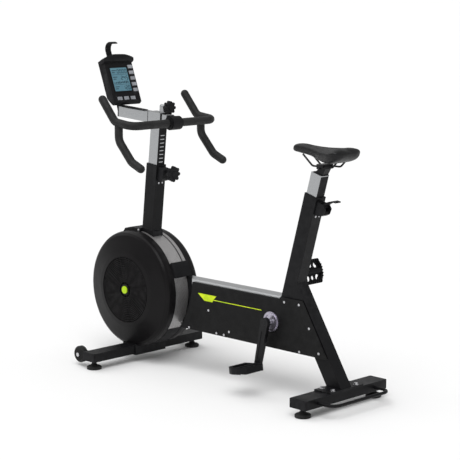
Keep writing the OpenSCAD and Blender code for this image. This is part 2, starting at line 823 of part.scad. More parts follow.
// ---------- wheels and feet ----------
module transport_wheel(y) {
    difference() {
        union() {
            rod_y(wheel_x, wheel_z, wheel_r - 2, y - wheel_w / 2, y + wheel_w / 2);
            rod_y(wheel_x, wheel_z, wheel_r, y - wheel_w / 2 + 2.5, y + wheel_w / 2 - 2.5);
        }
        rod_y(wheel_x, wheel_z, wheel_axle_r + fit, y - 20, y + 20);
        for (s = [-wheel_w / 2 - 1, wheel_w / 2 - 2]) difference() {
            rod_y(wheel_x, wheel_z, 24, y + s, y + s + 3);
            rod_y(wheel_x, wheel_z, 12, y + s - 1, y + s + 4);
        }
    }
}
module transport_wheel_left() {
    color("#171717") transport_wheel(-wheel_y);
}
module transport_wheel_right() {
    color("#171717") transport_wheel(wheel_y);
}
module foot(x, y) {
    translate([x, y, 0]) {
        rotate_extrude() polygon([[0, 0], [foot_r - 2, 0], [foot_r, 2], [foot_r, 10], [foot_r - 4, 13],
            [14, 15], [12, 20], [0, 20]]);
        cylinder(r = stud_r, h = stud_top);
        translate([0, 0, 22]) cylinder(r = 9.5, h = 7, $fn = 6);
    }
}
module foot_front_left() {
    color("#121212") foot(front_x, -front_feet / 2);
}
module foot_front_right() {
    color("#121212") foot(front_x, front_feet / 2);
}
module foot_rear_left() {
    color("#121212") foot(rear_x, -rear_feet / 2);
}
module foot_rear_right() {
    color("#121212") foot(rear_x, rear_feet / 2);
}

// ---------- seat post and saddle ----------
module glide(d, w, z0) {
    difference() {
        union() {
            box(-tube_d / 2 + wall, tube_d / 2 - wall, -tube_w / 2 + wall, tube_w / 2 - wall, z0, 0);
            box(-tube_d / 2, tube_d / 2, -tube_w / 2, tube_w / 2, 0, 3);
        }
        box(-d / 2 - gap, d / 2 + gap, -w / 2 - gap, w / 2 + gap, z0 - 1, 5);
    }
}
module post_glides() {
    color("#101011") {
        in_mast() glide(seat_d, seat_w, -70);
        in_upright() glide(front_d, front_w, -70);
    }
}
module seat_post() {
    color("#bfc2c6") in_mast() difference() {
        box(-seat_d / 2, seat_d / 2, -seat_w / 2, seat_w / 2, -seat_in, seat_out);
        box(-seat_d / 2 + 3, seat_d / 2 - 3, -seat_w / 2 + 3, seat_w / 2 - 3, -seat_in - 1, seat_out - 4);
        box(seat_d / 2 - 1, seat_d / 2 + 1, -12, 12, -seat_in + 20, seat_out - 8);
    }
}
module seat_clamp() {
    color("#141415") {
        in_mast() box(-18, seat_d / 2 + 3, -17, 17, seat_out, seat_out + 3);
        difference() {
            plate(-15, 15) polygon([[468, 827.5], [503, 820.5], [518, 847], [484, 847]]);
            in_mast() box(-60, 60, -40, 40, 0, seat_out + 0.02);
        }
        difference() {
            box(clamp_x - 15, clamp_x + 15, -28, 28, 846, 863.5);
            both() rod_x(rail_y, rail_z, 3.5 + fit, clamp_x - 40, clamp_x + 40);
        }
        rod_y(clamp_x, 848, 3, -33, 33);
    }
}
module saddle_rails() {
    color("#1a1a1b") both() translate([418, rail_y, rail_z + 38]) rotate([0, 130, 0])
        sweep([[51.8, 20, 40, 180], [77.4, 20, 45, 0], [30, 0, 0, 0]], rail_r) circle(rail_r);
}
module saddle_pad() {
    n = saddle_nose;
    w = saddle_half;
    plan = [[n, 8], [n + 6, 15], [n + 24, 20], [n + 75, 24], [n + 125, 35], [n + 170, 54], [n + 205, w - 6],
        [n + 230, w], [n + 250, w - 6], [n + 260, w - 26], [n + 262, 12]];
    color("#171718") intersection() {
        translate([0, 0, 800]) linear_extrude(200)
            polygon(concat(plan, [for (i = [len(plan) - 1:-1:0]) [plan[i][0], -plan[i][1]]]));
        plate(-w - 1, w + 1) polygon([[n, 903], [n + 8, 918], [n + 22, 926], [n + 45, 928], [n + 105, 921],
            [n + 165, 916], [n + 215, 920], [n + 250, 921], [n + 262, 910], [n + 262, 884], [n + 240, 868],
            [n + 180, 864], [n + 150, 872], [n + 100, 888], [n + 40, 896], [n + 4, 897]]);
    }
}
lever_at = [52, -22];
module seat_lever() {
    color("#161617") in_mast() difference() {
        plate(-13, 13) {
            at(lever_at[0], lever_at[1]) circle(7);
            polygon([[46.5, -18], [46.5, -14], [56, -8], [74, 6], [93, 16.5], [107, 18.5], [109, 16],
                [108, 13.5], [95, 11], [76, 0], [58.5, -17]]);
        }
        rod_y(lever_at[0], lever_at[1], 3 + fit, -20, 20);
    }
}

// ---------- locks ----------
knob_z = -19;                   // height of the lower knob's screw along the upright
module lock_housings() {
    color("#151516") {
        in_mast() {
            plate(-13.4, 13.4) polygon([[tube_d / 2, -60], [58, -56], [70, -46], [66, -36], [43, -34],
                [39, -12], [tube_d / 2, -12]]);
            both() plate(13.4, 17.5) polygon([[tube_d / 2, -60], [58, -56], [70, -46], [73, -24],
                [60, -12], [tube_d / 2, -12]]);
            rod_y(lever_at[0], lever_at[1], 3, -17.5, 17.5);
        }
        in_upright() difference() {
            plate(-17, 17) polygon([[tube_d / 2, -60], [52, -56], [60, -46], [62, -10], [52, -5],
                [tube_d / 2, -4]]);
            rod_x(0, knob_z, 5 + fit, tube_d / 2 - 1, 70);
        }
    }
}
// star knob on its screw, pointing along +x
module star_knob(r, reach, t) {
    rod_x(0, 0, 5, 1, reach);
    rod_x(0, 0, 9, reach - 8, reach);
    translate([reach, 0, 0]) rotate([0, 90, 0]) {
        linear_extrude(t) {
            circle(r * 0.76);
            for (a = [0:45:315]) rotate(a) translate([r * 0.77, 0]) circle(r * 0.23);
        }
        translate([0, 0, t]) cylinder(r = r * 0.4, h = 2);
    }
}
module lower_knob() {
    color("#101011") in_upright() translate([tube_d / 2, 0, knob_z]) star_knob(31, 62, knob_t);
}
module upper_knob() {
    color("#101011") in_arm() translate([9, 0, lug_z]) star_knob(26, 36, knob_t + 3);
}
lug_z = 48;

// ---------- handlebar post, arm ----------
module handlebar_post() {
    color("#bfc2c6") difference() {
        in_upright() difference() {
            box(-front_d / 2, front_d / 2, -front_w / 2, front_w / 2, -front_in, head_rise);
            box(-front_d / 2 + 3, front_d / 2 - 3, -front_w / 2 + 3, front_w / 2 - 3, -front_in - 1,
                head_rise - 40);
            box(front_d / 2 - 1, front_d / 2 + 1, -12, 12, -front_in + 20, head_rise - 34);
        }
        in_arm() box(-60, 60, -40, 40, -arm_h / 2 - 3.5, 60);
    }
}
module arm_sleeve() {
    color("#c3c6ca") in_arm() difference() {
        union() {
            box(sleeve_f, sleeve_r, -arm_w / 2 - 3.5, arm_w / 2 + 3.5, -arm_h / 2 - 3.5, arm_h / 2 + 3.5);
            box(8, sleeve_r, -9, 9, arm_h / 2 + 3.5, lug_z);
            rod_x(0, lug_z, 9, 8, sleeve_r);
        }
        box(sleeve_f - 1, sleeve_r + 1, -arm_w / 2 - gap, arm_w / 2 + gap, -arm_h / 2 - gap, arm_h / 2 + gap);
        rod_x(0, lug_z, 5 + fit, 0, 60);
    }
}
module arm_bushings() {
    color("#0e0e0f") in_arm() for (x = [sleeve_f - 4, sleeve_r]) difference() {
        box(x, x + 4, -arm_w / 2 - 3, arm_w / 2 + 3, -arm_h / 2 - 3, arm_h / 2 + 3);
        box(x - 1, x + 5, -arm_w / 2 - gap, arm_w / 2 + gap, -arm_h / 2 - gap, arm_h / 2 + gap);
    }
}
arm_back = 62;
module console_arm() {
    color("#bfc2c6") in_arm() difference() {
        box(-arm_front, arm_back, -arm_w / 2, arm_w / 2, -arm_h / 2, arm_h / 2);
        box(-arm_front - 1, arm_back + 1, -arm_w / 2 + 3, arm_w / 2 - 3, -arm_h / 2 + 3, arm_h / 2 - 3);
    }
}
hinge = con + [cos(con_lean) * hinge_n - sin(con_lean) * hinge_h,
    sin(con_lean) * hinge_n + cos(con_lean) * hinge_h];
hinge_arm = let (d = hinge - head) [d[0] * cos(arm_tilt) - d[1] * sin(arm_tilt),
    d[0] * sin(arm_tilt) + d[1] * cos(arm_tilt)];
module console_bracket() {
    color("#131314") in_arm() difference() {
        union() {
            box(-arm_front - 5, -arm_front, -arm_w / 2, arm_w / 2, -arm_h / 2, arm_h / 2);
            box(-arm_front - 5, -82, -13, 13, arm_h / 2, arm_h / 2 + 3);
            plate(-14, 14) {
                polygon([[-arm_front - 5, -arm_h / 2], [hinge_arm[0] - 6.6, hinge_arm[1] - 2.5],
                    [hinge_arm[0] + 4, hinge_arm[1] - 4], [-arm_front - 5, arm_h / 2]]);
                at(hinge_arm[0], hinge_arm[1]) circle(7);
            }
        }
        rod_y(hinge_arm[0], hinge_arm[1], 3 + fit, -20, 20);
    }
}
module handlebar_clamp() {
    color("#121213") in_arm() difference() {
        union() {
            rod_y(bar_off[0], bar_off[1], 26.5, -25, 25);
            rod_y(bar_off[0], bar_off[1], 22, -31, 31);
            box(arm_back, 82, -arm_w / 2, arm_w / 2, -26, 17);
        }
        box(arm_back - 20, arm_back, -40, 40, -60, 60);
        rod_y(bar_off[0], bar_off[1], bar_r, -40, 40);
    }
}

// ---------- handlebar ----------
bar_at = head + [cos(arm_tilt) * bar_off[0] + sin(arm_tilt) * bar_off[1],
    -sin(arm_tilt) * bar_off[0] + cos(arm_tilt) * bar_off[1]];
corner_r = 35;
drop_at = [bar_at[0] - 76.5, bar_at[1] + 8.7];
prong_rise = bar_tilt + 42.5;   // slope of the front prongs above the horizontal
prong_len = 93.4;
run_len = 47.3;                 // straight between the corner and the prong's bend
run_bend = 40;
drop_bend = 45;
drop_turn = [43.2, 24.4];       // the two bends of each drop
drop_len = [49.2, 77.9, 45.5];
module half_bar(start, r, past) {
    translate([bar_at[0], 0, bar_at[1]]) rotate([0, bar_tilt, 0]) translate([0, -start, 0])
        rotate([90, 0, 0]) sweep([[bar_half - corner_r - start, corner_r, 90, 180],
            [run_len, run_bend, prong_rise - bar_tilt, -90], [prong_len + past, 0, 0, 0]], r) children();
}
module half_drop(start, r, past) {
    translate([drop_at[0], -bar_half, drop_at[1] - start]) rotate([0, 180, 0])
        sweep([[drop_len[0] - start, drop_bend, drop_turn[0], 180], [drop_len[1], drop_bend, drop_turn[1], 0],
            [drop_len[2] + past, 0, 0, 0]], r) children();
}
module handlebar_frame() {
    $fn = 32;
    color("#1a1a1b") both() {
        half_bar(0, bar_r, 0) circle(bar_r);
        half_drop(0, bar_r, 0) circle(bar_r - drop_thin);
    }
}
module grip2d() {
    difference() {
        circle(grip_r);
        circle(bar_r + shy + 0.02);
    }
}
function bar_tip(e) = let (a = prong_rise, b = bar_tilt, l = corner_r + run_len) [
    bar_at[0] - cos(b) * l - run_bend * (sin(a) - sin(b)) - cos(a) * (prong_len + e),
    bar_at[1] + sin(b) * l + run_bend * (cos(b) - cos(a)) + sin(a) * (prong_len + e)];
function drop_tip(e) = let (a = drop_turn[0], b = a + drop_turn[1]) [
    drop_at[0] + drop_bend * (1 - cos(a)) + drop_len[1] * sin(a) + drop_bend * (cos(a) - cos(b))
        + (drop_len[2] + e) * sin(b),
    drop_at[1] - drop_len[0] - drop_bend * sin(a) - drop_len[1] * cos(a) - drop_bend * (sin(b) - sin(a))
        - (drop_len[2] + e) * cos(b)];
module grip_dome(p, turn) {
    translate([p[0], -bar_half, p[1]]) rotate([0, turn, 0]) rotate_extrude() intersection() {
        circle(grip_r);
        square(grip_r + 1);
    }
}
module handlebar_grips() {
    $fn = 32;
    color("#161616") both() {
        difference() {
            half_bar(34, grip_r, grip_end) grip2d();
            translate([drop_at[0], -bar_half, drop_at[1] - 30]) cylinder(r = bar_r, h = 30);
        }
        half_drop(14.6, grip_r, grip_end) grip2d();
        grip_dome(bar_tip(grip_end - lap), prong_rise - 90);
        grip_dome(drop_tip(grip_end - lap), 180 - drop_turn[0] - drop_turn[1]);
    }
}

// ---------- console ----------
// outline of the housing seen on its face: arched top, rounded corners
module console_front() {
    arch = 150;
    soft = 9;
    intersection() {
        at(0, con_top + 2 - arch) circle(arch);
        union() {
            at(-con_w / 2, con_low + soft - 2) square([con_w, con_top]);
            at(-con_w / 2 + soft, con_low - 2) square([con_w - 2 * soft, con_top]);
            for (y = [-1, 1]) at(y * (con_w / 2 - soft), con_low + soft - 2) circle(soft);
        }
    }
}
// hood over the display, a little wider than the housing and arched like it
module console_visor() {
    arch = 150;
    half = con_w / 2 + 6;
    intersection() {
        translate([-60, 0, 0]) rotate([90, 0, 90]) linear_extrude(100) intersection() {
            at(0, con_top + 4 - arch) circle(arch);
            at(-half, 150) square([2 * half, 60]);
        }
        plate(-half, half) polygon([[0, 158], [9, 163], [13, 177], [10, 189], [0, con_top + 4],
            [-20, con_top + 4], [-20, 158]]);
    }
}
module console_housing() {
    color("#1a1b1d") in_console() difference() {
        union() {
            intersection() {
                translate([-60, 0, 0]) rotate([90, 0, 90]) linear_extrude(100) console_front();
                plate(-con_w / 2, con_w / 2) polygon([[-8, con_low - 2], [0, con_low + 6], [0, 158], [9, 164],
                [12, 178], [9, 187], [0, con_top + 2], [-20, con_top], [-con_t + 4, 184], [-con_t, 172],
                [-con_t, 22], [-14, con_low]]);
            }
            both() {
                plate(15, 20) {
                    polygon([[-con_t, hinge_h - 14], [-con_t, hinge_h + 14], [hinge_n - 3, hinge_h + 6.2],
                        [hinge_n - 3, hinge_h - 6.2]]);
                    at(hinge_n, hinge_h) circle(7);
                }
                box(-con_t - 6, -con_t, 14.5, 18, 100, 176);
            }
            rod_y(hinge_n, hinge_h, 3, -20, 20);
            console_visor();
        }
        box(-2, 1, -51, 37, 39, 139);
        for (i = [0:4]) button_box(button_y, column_h + i * button_gap, 8, 0.3);
        for (i = [-1:1]) button_box(-3 + i * row_gap, row_h, 8, 0.3);
    }
}
module button_box(y, h, deep, grow) {
    box(-deep, grow > 0 ? 1 : button_proud, y - button_w / 2 - grow, y + button_w / 2 + grow,
        h - button_h / 2 - grow, h + button_h / 2 + grow);
}
module console_screen() {
    color("#5fa3b4") in_console() box(-2, -0.6, -50.8, 36.8, 39.2, 138.8);
}
module side_button(i) {
    color("#9da1a6") in_console() button_box(button_y, column_h + (5 - i) * button_gap, 5, 0);
}
module row_button(i) {
    color("#9da1a6") in_console() button_box(-3 + (i - 2) * row_gap, row_h, 5, 0);
}
module side_button_1() {
    side_button(1);
}
module side_button_2() {
    side_button(2);
}
module side_button_3() {
    side_button(3);
}
module side_button_4() {
    side_button(4);
}
module side_button_5() {
    side_button(5);
}
module row_button_1() {
    row_button(1);
}
module row_button_2() {
    row_button(2);
}
module row_button_3() {
    row_button(3);
}
module device_hook() {
    color("#131314") in_console() plate(-14, 14) {
        polygon([[-con_t - 5, 104], [-con_t - 1, 104], [-con_t - 1, 219], [-con_t - 5, 219]]);
        at(-12, 219) intersection() {
            difference() {
                circle(29);
                circle(25);
            }
            polygon([[0, 0], [36, 25], [0, 50], [-60, 50], [-60, 0]]);
        }
    }
}

front_stabilizer();
stabilizer_caps();
rear_stabilizer();
rear_support();
seat_mast();
main_beam();
front_upright();
drum_bulkhead();
drum_blocks();
drum_shell_left();
drum_shell_right();
drum_cap();
drum_mesh();
left_side_cover();
right_side_cover();
frame_screws();
drive_brackets();
crank_bearings();
post_glides();
lock_housings();
drive_belts();
crank_spindle();
crank_arm_left();
crank_arm_right();
pedal_left();
pedal_right();
idler_pulley();
fan_wheel();
transport_wheel_left();
transport_wheel_right();
foot_front_left();
foot_front_right();
foot_rear_left();
foot_rear_right();
seat_post();
seat_clamp();
saddle_rails();
saddle_pad();
seat_lever();
handlebar_post();
arm_sleeve();
arm_bushings();
upper_knob();
lower_knob();
console_arm();
console_bracket();
handlebar_clamp();
handlebar_frame();
handlebar_grips();
console_housing();
console_screen();
side_button_1();
side_button_2();
side_button_3();
side_button_4();
side_button_5();
row_button_1();
row_button_2();
row_button_3();
device_hook();
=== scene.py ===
import json
import math

import bmesh
import bpy
from mathutils import Matrix, Vector
from mathutils.bvhtree import BVHTree


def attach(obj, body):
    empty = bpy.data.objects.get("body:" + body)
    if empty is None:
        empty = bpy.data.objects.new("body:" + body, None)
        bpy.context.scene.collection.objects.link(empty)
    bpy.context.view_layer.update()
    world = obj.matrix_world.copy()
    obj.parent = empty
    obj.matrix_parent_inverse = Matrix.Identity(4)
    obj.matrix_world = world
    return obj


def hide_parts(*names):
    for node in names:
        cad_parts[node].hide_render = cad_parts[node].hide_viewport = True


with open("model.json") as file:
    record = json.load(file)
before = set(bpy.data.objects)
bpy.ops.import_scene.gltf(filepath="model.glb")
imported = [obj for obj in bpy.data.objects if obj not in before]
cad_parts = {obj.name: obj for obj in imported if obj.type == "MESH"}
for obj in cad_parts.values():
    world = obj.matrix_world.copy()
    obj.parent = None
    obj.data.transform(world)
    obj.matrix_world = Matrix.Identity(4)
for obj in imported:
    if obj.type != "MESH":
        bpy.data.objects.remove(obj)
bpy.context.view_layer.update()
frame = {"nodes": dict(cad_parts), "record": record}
MM = 0.001
NODES = frame["nodes"]
DRUM_X, DRUM_Z = -0.4615, 0.2915    # axis of the drum, in metres
BAND_R = 0.231                      # radius that the punched band's holes are laid out on
UPRIGHT_LEAN, MAST_LEAN, ARM_LEAN = 6.5, 16.0, 4.0    # degrees about +Y


# ---------- frames shared with the CAD model ----------
def turned(origin, degrees):
    """Matrix of a frame whose x and z lie in the bike's middle plane, turned about +Y."""
    move = Matrix.Translation(Vector(origin) * MM)
    return move @ Matrix.Rotation(math.radians(degrees), 4, "Y")


UPRIGHT = turned((-379, 0, 789.5), UPRIGHT_LEAN)
MAST = turned((457, 0, 747), MAST_LEAN)
CONSOLE = turned((-544.5, 0, 1030), -20.7)
WORLD = Matrix.Identity(4)


# ---------- materials ----------
def tint(base, factor, lift=0.0):
    """A colour made lighter or darker by a factor, then lifted."""
    return tuple(min(1.0, c * factor + lift) for c in base)


class Shade:
    """Small helper that wires procedural nodes into one Principled shader."""

    def __init__(self, name, rough, metal=0.0, coat=0.0, sheen=0.0, spec=0.5):
        self.mat = bpy.data.materials.new(name)
        self.mat.use_nodes = True
        self.nt = self.mat.node_tree
        self.out = self.nt.nodes["Principled BSDF"]
        self.out.inputs["Roughness"].default_value = rough
        self.out.inputs["Metallic"].default_value = metal
        self.out.inputs["Coat Weight"].default_value = coat
        self.out.inputs["Coat Roughness"].default_value = 0.15
        self.out.inputs["Sheen Weight"].default_value = sheen
        self.out.inputs["Specular IOR Level"].default_value = spec
        self.coord = self.add("ShaderNodeTexCoord").outputs["Object"]
        self.bump = None

    def add(self, kind, **props):
        node = self.nt.nodes.new(kind)
        for key, value in props.items():
            setattr(node, key, value)
        return node

    def link(self, a, b):
        self.nt.links.new(a, b)

    def axes(self):
        """The x, y and z of the object space."""
        split = self.add("ShaderNodeSeparateXYZ")
        self.link(self.coord, split.inputs[0])
        return split.outputs

    def space(self, scale, turn):
        """Object space turned about +Y, then scaled, for grain that runs along a tube."""
        node = self.add("ShaderNodeMapping")
        node.inputs["Rotation"].default_value = (0, math.radians(-turn), 0)
        self.link(self.coord, node.inputs["Vector"])
        grow = self.add("ShaderNodeVectorMath", operation="MULTIPLY")
        grow.inputs[1].default_value = scale
        self.link(node.outputs[0], grow.inputs[0])
        return grow.outputs[0]

    def noise(self, scale, detail=3.0, rough=0.6, at=None):
        node = self.add("ShaderNodeTexNoise")
        node.inputs["Scale"].default_value = scale
        node.inputs["Detail"].default_value = detail
        node.inputs["Roughness"].default_value = rough
        self.link(at or self.coord, node.inputs["Vector"])
        return node.outputs["Fac"]

    def cells(self, scale, feature="F1"):
        node = self.add("ShaderNodeTexVoronoi", feature=feature)
        node.inputs["Scale"].default_value = scale
        self.link(self.coord, node.inputs["Vector"])
        return node.outputs["Distance"]

    def remap(self, value, lo, hi, a=0.0, b=1.0):
        node = self.add("ShaderNodeMapRange")
        for key, number in (("From Min", lo), ("From Max", hi), ("To Min", a), ("To Max", b)):
            node.inputs[key].default_value = number
        self.link(value, node.inputs["Value"])
        return node.outputs[0]

    def math(self, operation, a, b=None, clamp=False):
        node = self.add("ShaderNodeMath", operation=operation, use_clamp=clamp)
        for socket, value in zip(node.inputs, (a, b)):
            if isinstance(value, (int, float)):
                socket.default_value = value
            elif value is not None:
                self.link(value, socket)
        return node.outputs[0]

    def mix(self, fac, a, b):
        node = self.add("ShaderNodeMix", data_type="RGBA")
        self.link(fac, node.inputs["Factor"])
        for socket, value in ((node.inputs["A"], a), (node.inputs["B"], b)):
            if isinstance(value, tuple):
                socket.default_value = (*value, 1.0)
            else:
                self.link(value, socket)
        return node.outputs["Result"]

    def colour(self, socket):
        self.link(socket, self.out.inputs["Base Color"])

    def rough(self, value, lo, hi, a, b):
        self.link(self.remap(value, lo, hi, a, b), self.out.inputs["Roughness"])

    def dent(self, height, distance, strength=0.5):
        node = self.add("ShaderNodeBump")
        node.inputs["Distance"].default_value = distance
        node.inputs["Strength"].default_value = strength
        self.link(height, node.inputs["Height"])
        if self.bump:
            self.link(self.bump, node.inputs["Normal"])
        self.bump = node.outputs[0]

    def length(self, a, b):
        """Length of the plane vector (a, b)."""
        squares = (self.math("MULTIPLY", a, a), self.math("MULTIPLY", b, b))
        return self.math("SQRT", self.math("ADD", *squares))

    def edge_wear_and_highlight(self, colour, light):
        """Convex edges painted a little lighter in patches: rubbed wear and a painted edge highlight."""
        edge = self.remap(self.add("ShaderNodeNewGeometry").outputs["Pointiness"], 0.53, 0.62)
        cloud = self.remap(self.noise(45.0, 4.0), 0.35, 0.65)
        patchy = self.math("MULTIPLY", edge, cloud, clamp=True)
        return self.mix(self.math("MULTIPLY", patchy, 0.55), colour, light)

    def done(self):
        if self.bump:
            self.link(self.bump, self.out.inputs["Normal"])
        return self.mat


DARK_SPEC = 0.11      # specular level of the black paint and plastics


def paint(name, base, rough=0.38, coat=0.25):
    """Powder coat: fine orange peel, faint dust, and edges painted lighter for soft edge wear and a painted
    edge highlight.
    """
    s = Shade(name, rough, coat=coat, spec=DARK_SPEC)
    tone = s.remap(s.noise(6.0, 4.0), 0.3, 0.7)
    col = s.mix(tone, tint(base, 0.82), tint(base, 1.2))
    # convex edges painted lighter: rubbed wear and a painted edge highlight
    s.colour(s.edge_wear_and_highlight(col, tint(base, 3.0, 0.03)))
    s.rough(s.noise(22.0, 5.0), 0.3, 0.7, rough - 0.07, rough + 0.09)
    s.dent(s.noise(700.0, 2.0), 0.00012, 0.5)
    s.dent(s.noise(2600.0, 1.0), 0.000036, 0.4)
    return s.done()


def plastic(name, base, rough=0.5, grain=0.00010, coat=0.0):
    """Moulded plastic: spark-eroded grain, slight flow marks, and edges painted lighter for handling wear
    and a painted edge highlight.
    """
    s = Shade(name, rough, coat=coat, spec=DARK_SPEC)
    tone = s.remap(s.noise(9.0, 3.0), 0.3, 0.7)
    col = s.mix(tone, tint(base, 0.85), tint(base, 1.18))
    # convex edges painted lighter: handling wear and a painted edge highlight
    s.colour(s.edge_wear_and_highlight(col, tint(base, 2.4, 0.02)))
    s.rough(s.noise(35.0, 4.0), 0.3, 0.7, rough - 0.06, rough + 0.08)
    s.dent(s.cells(1500.0), grain, 0.6)
    return s.done()


def rubber(name, base, rough=0.75):
    """Moulded rubber: soft bloom, dust and a fine pebbled skin."""
    s = Shade(name, rough, sheen=0.04, spec=0.3)
    bloom = s.remap(s.noise(14.0, 5.0, 0.7), 0.42, 0.72)
    s.colour(s.mix(bloom, base, tint(base, 1.7, 0.006)))
    s.rough(s.noise(60.0, 3.0), 0.3, 0.7, rough - 0.08, rough + 0.1)
    s.dent(s.cells(900.0), 0.00018, 0.5)
    return s.done()


def brushed(name, base, turn, along, rough):
    """Anodised metal with fine lines along the tube, turned with it."""
    s = Shade(name, rough, metal=1.0)
    stretch = {"x": (4, 900, 900), "z": (900, 900, 4)}[along]
    lines = s.noise(1.0, 4.0, 0.65, s.space(stretch, turn))
    broad = s.remap(s.noise(5.0, 3.0), 0.2, 0.8, 0.0, 0.25)
    streaks = s.mix(s.remap(lines, 0.25, 0.75), tint(base, 0.86), tint(base, 1.08))
    s.colour(s.mix(broad, streaks, tint(base, 0.78)))
    s.rough(lines, 0.25, 0.75, rough - 0.06, rough + 0.12)
    s.dent(lines, 0.00006, 0.35)
    return s.done()


def metal(name, base, rough):
    """Plated or machined steel: cloudy tint, tiny scratches."""
    s = Shade(name, rough, metal=1.0)
    cloud = s.remap(s.noise(80.0, 5.0, 0.7), 0.35, 0.7)
    s.colour(s.mix(cloud, base, tint(base, 0.72)))
    s.rough(s.noise(260.0, 4.0), 0.3, 0.7, rough - 0.08, rough + 0.14)
    s.dent(s.noise(900.0, 3.0), 0.00005, 0.4)
    return s.done()


def perforated(name):
    """Steel band punched with staggered round holes, laid out round the drum axis."""
    pitch, row = 0.0052, 0.0045
    hole_r, hole_rim = 0.00115, 0.00140
    s = Shade(name, 0.32, metal=0.9)
    x, y, z = s.axes()
    around = s.math("ARCTAN2", s.math("SUBTRACT", z, DRUM_Z), s.math("SUBTRACT", x, DRUM_X))
    v = s.math("DIVIDE", y, row)
    odd = s.math("MULTIPLY", s.math("FLOORED_MODULO", s.math("FLOOR", v), 2.0), 0.5)
    u = s.math("ADD", s.math("DIVIDE", s.math("MULTIPLY", around, BAND_R), pitch), odd)
    from_hole = [s.math("MULTIPLY", s.math("SUBTRACT", s.math("FRACT", step), 0.5), size)
                 for step, size in ((u, pitch), (v, row))]
    hole = s.remap(s.length(*from_hole), hole_r, hole_rim, 1.0, 0.0)
    cloud = s.mix(s.remap(s.noise(12.0, 4.0), 0.3, 0.7), (0.40, 0.39, 0.39), (0.60, 0.59, 0.59))
    s.colour(s.mix(hole, cloud, (0.006, 0.006, 0.007)))
    s.link(s.remap(hole, 0, 1, 0.6, 0.0), s.out.inputs["Metallic"])
    s.rough(hole, 0, 1, 0.3, 0.95)
    s.dent(s.remap(hole, 0, 1, 1.0, 0.0), 0.0004, 0.6)
    return s.done()


def leather(name, base):
    """Smooth synthetic saddle cover: pebble grain, soft creases, polished top."""
    s = Shade(name, 0.42, coat=0.02, spec=0.24)
    s.colour(s.mix(s.remap(s.noise(24.0, 4.0), 0.3, 0.7), base, tint(base, 1.6, 0.004)))
    s.rough(s.noise(70.0, 4.0), 0.3, 0.7, 0.34, 0.52)
    s.dent(s.cells(760.0, "DISTANCE_TO_EDGE"), 0.00016, 0.5)
    s.dent(s.noise(120.0, 4.0), 0.0003, 0.25)
    return s.done()


def lcd(name):
    """Back-lit liquid crystal: a cloudy blue-green glow with faint upright lines."""
    s = Shade(name, 0.12, coat=0.15)
    lines = s.math("MULTIPLY", s.math("FRACT", s.math("MULTIPLY", s.axes()[1], 900.0)), 0.12)
    cloud = s.math("ADD", s.remap(s.noise(14.0, 2.0), 0.25, 0.75, 0.0, 0.5), lines, clamp=True)
    glow = s.mix(cloud, (0.045, 0.13, 0.18), (0.14, 0.28, 0.33))
    s.colour(glow)
    s.link(glow, s.out.inputs["Emission Color"])
    s.out.inputs["Emission Strength"].default_value = 0.2
    s.dent(s.noise(1800.0, 1.0), 0.00001, 0.2)
    return s.done()


BLACK = (0.006, 0.006, 0.0068)
POST_GREY = (0.42, 0.43, 0.44)
M = {
    "frame_paint": paint("frame_paint_black", BLACK, 0.40, 0.02),
    "drum_plastic": plastic("drum_plastic_black", (0.0055, 0.005, 0.0055), 0.34, 0.00006, coat=0.03),
    "cover_plastic": plastic("cover_plastic_black", (0.006, 0.006, 0.0062), 0.44, 0.00009),
    "black_plastic": plastic("black_plastic_grained", (0.008, 0.008, 0.009), 0.5),
    "rubber": rubber("rubber_black", (0.009, 0.009, 0.009)),
    "mesh_steel": perforated("mesh_steel_punched"),
    "bright_steel": metal("bright_steel_plated", (0.66, 0.66, 0.68), 0.26),
    "fan_steel": paint("fan_paint_dark", (0.010, 0.010, 0.011), 0.42),
    "crank_paint": paint("crank_paint_black", (0.009, 0.009, 0.010), 0.34, 0.08),
    "accent_plastic": plastic("accent_plastic_lime", (0.42, 0.66, 0.004), 0.34, 0.00004, coat=0.3),
    "screen": lcd("lcd_window"),
    "button_plastic": plastic("button_plastic_grey", (0.24, 0.25, 0.27), 0.5, 0.00008),
    "grip_foam": rubber("grip_rubber_ribbed", (0.006, 0.006, 0.0062), 0.60),
    "beam": brushed("aluminium_beam", (0.56, 0.57, 0.58), 0.0, "x", 0.33),
    "seat_post": brushed("aluminium_seat_post", POST_GREY, MAST_LEAN, "z", 0.24),
    "front_post": brushed("aluminium_front_post", POST_GREY, UPRIGHT_LEAN, "z", 0.24),
    "arm": brushed("aluminium_arm", POST_GREY, ARM_LEAN, "x", 0.26),
    "ring": metal("ring_steel_satin", (0.52, 0.49, 0.58), 0.3),
    "saddle": leather("saddle_cover_black", (0.004, 0.004, 0.0045)),
    "lime": plastic("stripe_film_lime", (0.40, 0.62, 0.004), 0.4, 0.00003, coat=0.2),
    "ink": plastic("lcd_segment_dark", (0.012, 0.03, 0.045), 0.4, 0.00002),
}
# nodes that look different from their material slot
SPECIAL = {
    "main_beam": "beam", "seat_post": "seat_post", "handlebar_post": "front_post",
    "arm_sleeve": "arm", "console_arm": "arm", "crank_bearings": "ring",
    "handlebar_frame": "grip_foam", "saddle_rails": "crank_paint", "saddle_pad": "saddle",
    "handlebar_clamp": "black_plastic", "upper_knob": "black_plastic", "lower_knob": "black_plastic",
}
SLOT = {entry["node"]: entry["material_slot"] for entry in frame["record"]["subparts"]}


# ---------- the carried-over CAD nodes ----------
def soften(obj, width, segments, clear):
    """Closes the mesh, clears its flat faces of cuts where asked and rounds its edges."""
    weld = obj.modifiers.new("weld", "WELD")
    weld.merge_threshold = 0.00001
    if clear:
        flat = obj.modifiers.new("flat", "DECIMATE")
        flat.decimate_type = "DISSOLVE"
        flat.angle_limit = math.radians(0.6)
    edge = obj.modifiers.new("edge", "BEVEL")
    edge.width = width
    edge.segments = segments
    edge.limit_method = "ANGLE"
    edge.angle_limit = math.radians(32)
    edge.miter_outer = "MITER_ARC"
    normal = obj.modifiers.new("normal", "WEIGHTED_NORMAL")
    normal.keep_sharp = False


